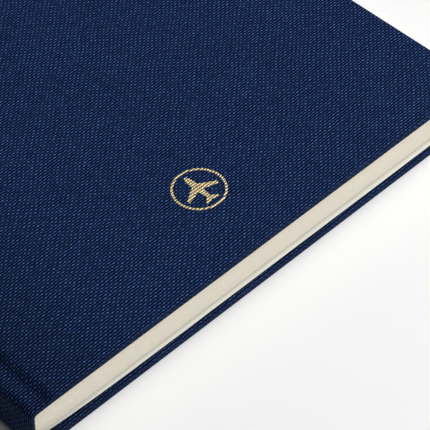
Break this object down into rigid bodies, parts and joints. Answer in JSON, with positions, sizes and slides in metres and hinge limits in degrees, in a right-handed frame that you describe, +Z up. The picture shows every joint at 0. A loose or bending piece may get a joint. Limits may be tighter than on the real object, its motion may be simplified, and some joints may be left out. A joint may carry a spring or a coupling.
{
  "type": "pilot logbook",
  "caption": "Case-bound logbook with sewn leaves between two cloth-covered boards that hinge open at a flat spine; a small gold aeroplane emblem is stamped on the front.",
  "frame": {"origin": "centre of the closed book's footprint, on the surface that its rear cover rests on", "axes": "+X from the spine to the fore edge, +Y from the tail to the head of the cover, +Z up out of the front cover"},
  "size_m": [0.1526, 0.215, 0.016],
  "materials": {
    "cover_cloth": "coarse plain-weave book cloth, deep navy, matt",
    "leaf_paper": "cream uncoated paper, matt",
    "endpaper": "off-white endpaper, matt",
    "board": "grey binder's board",
    "card": "thin spine card",
    "mull": "open-weave starched cotton gauze",
    "kraft": "brown kraft paper",
    "thread": "waxed linen thread",
    "foil": "pale gold stamping foil, satin, broken by the weave"
  },
  "bodies": {
    "text_block": {"section_04": "leaf_paper", "section_05": "leaf_paper", "section_06": "leaf_paper", "section_07": "leaf_paper", "section_08": "leaf_paper", "section_09": "leaf_paper", "section_10": "leaf_paper", "section_11": "leaf_paper", "section_12": "leaf_paper", "rear_flyleaf": "endpaper", "sewing_thread": "thread", "mull": "mull", "spine_lining": "kraft", "spine_card": "card", "spine_cloth": "cover_cloth"},
    "front_cover": {"front_board": "board", "front_cloth": "cover_cloth", "front_pastedown": "endpaper", "front_mull_flange": "mull", "foil_emblem": "foil"},
    "rear_cover": {"rear_board": "board", "rear_cloth": "cover_cloth", "rear_pastedown": "endpaper", "rear_mull_flange": "mull"},
    "front_flyleaf_leaf": {"front_flyleaf": "endpaper"},
    "section_01_leaves": {"section_01": "leaf_paper"},
    "section_02_leaves": {"section_02": "leaf_paper"},
    "section_03_leaves": {"section_03": "leaf_paper"}
  },
  "joints": [
    {"name": "front_hinge", "type": "hinge", "parent": "text_block", "child": "front_cover", "pos_m": [-0.0749, 0, 0.01477], "axis": [0, -1, 0], "range_deg": [0, 179.95]},
    {"name": "rear_hinge", "type": "hinge", "parent": "text_block", "child": "rear_cover", "pos_m": [-0.0749, 0, 0.00123], "axis": [0, 1, 0], "range_deg": [0, 179.95]},
    {"name": "front_flyleaf_turn", "type": "hinge", "parent": "text_block", "child": "front_flyleaf_leaf", "pos_m": [-0.0749, 0, 0.01477], "axis": [0, -1, 0], "range_deg": [0, 178.15]},
    {"name": "section_01_turn", "type": "hinge", "parent": "text_block", "child": "section_01_leaves", "pos_m": [-0.0749, 0, 0.01477], "axis": [0, -1, 0], "range_deg": [0, 172.75]},
    {"name": "section_02_turn", "type": "hinge", "parent": "text_block", "child": "section_02_leaves", "pos_m": [-0.0749, 0, 0.01477], "axis": [0, -1, 0], "range_deg": [0, 161.96]},
    {"name": "section_03_turn", "type": "hinge", "parent": "text_block", "child": "section_03_leaves", "pos_m": [-0.0749, 0, 0.01477], "axis": [0, -1, 0], "range_deg": [0, 143.96]}
  ],
  "couplings": [
    {"joint": "front_flyleaf_turn", "follows": "front_hinge", "ratio": 0.99},
    {"joint": "section_01_turn", "follows": "front_hinge", "ratio": 0.96},
    {"joint": "section_02_turn", "follows": "front_hinge", "ratio": 0.9},
    {"joint": "section_03_turn", "follows": "front_hinge", "ratio": 0.8}
  ]
}
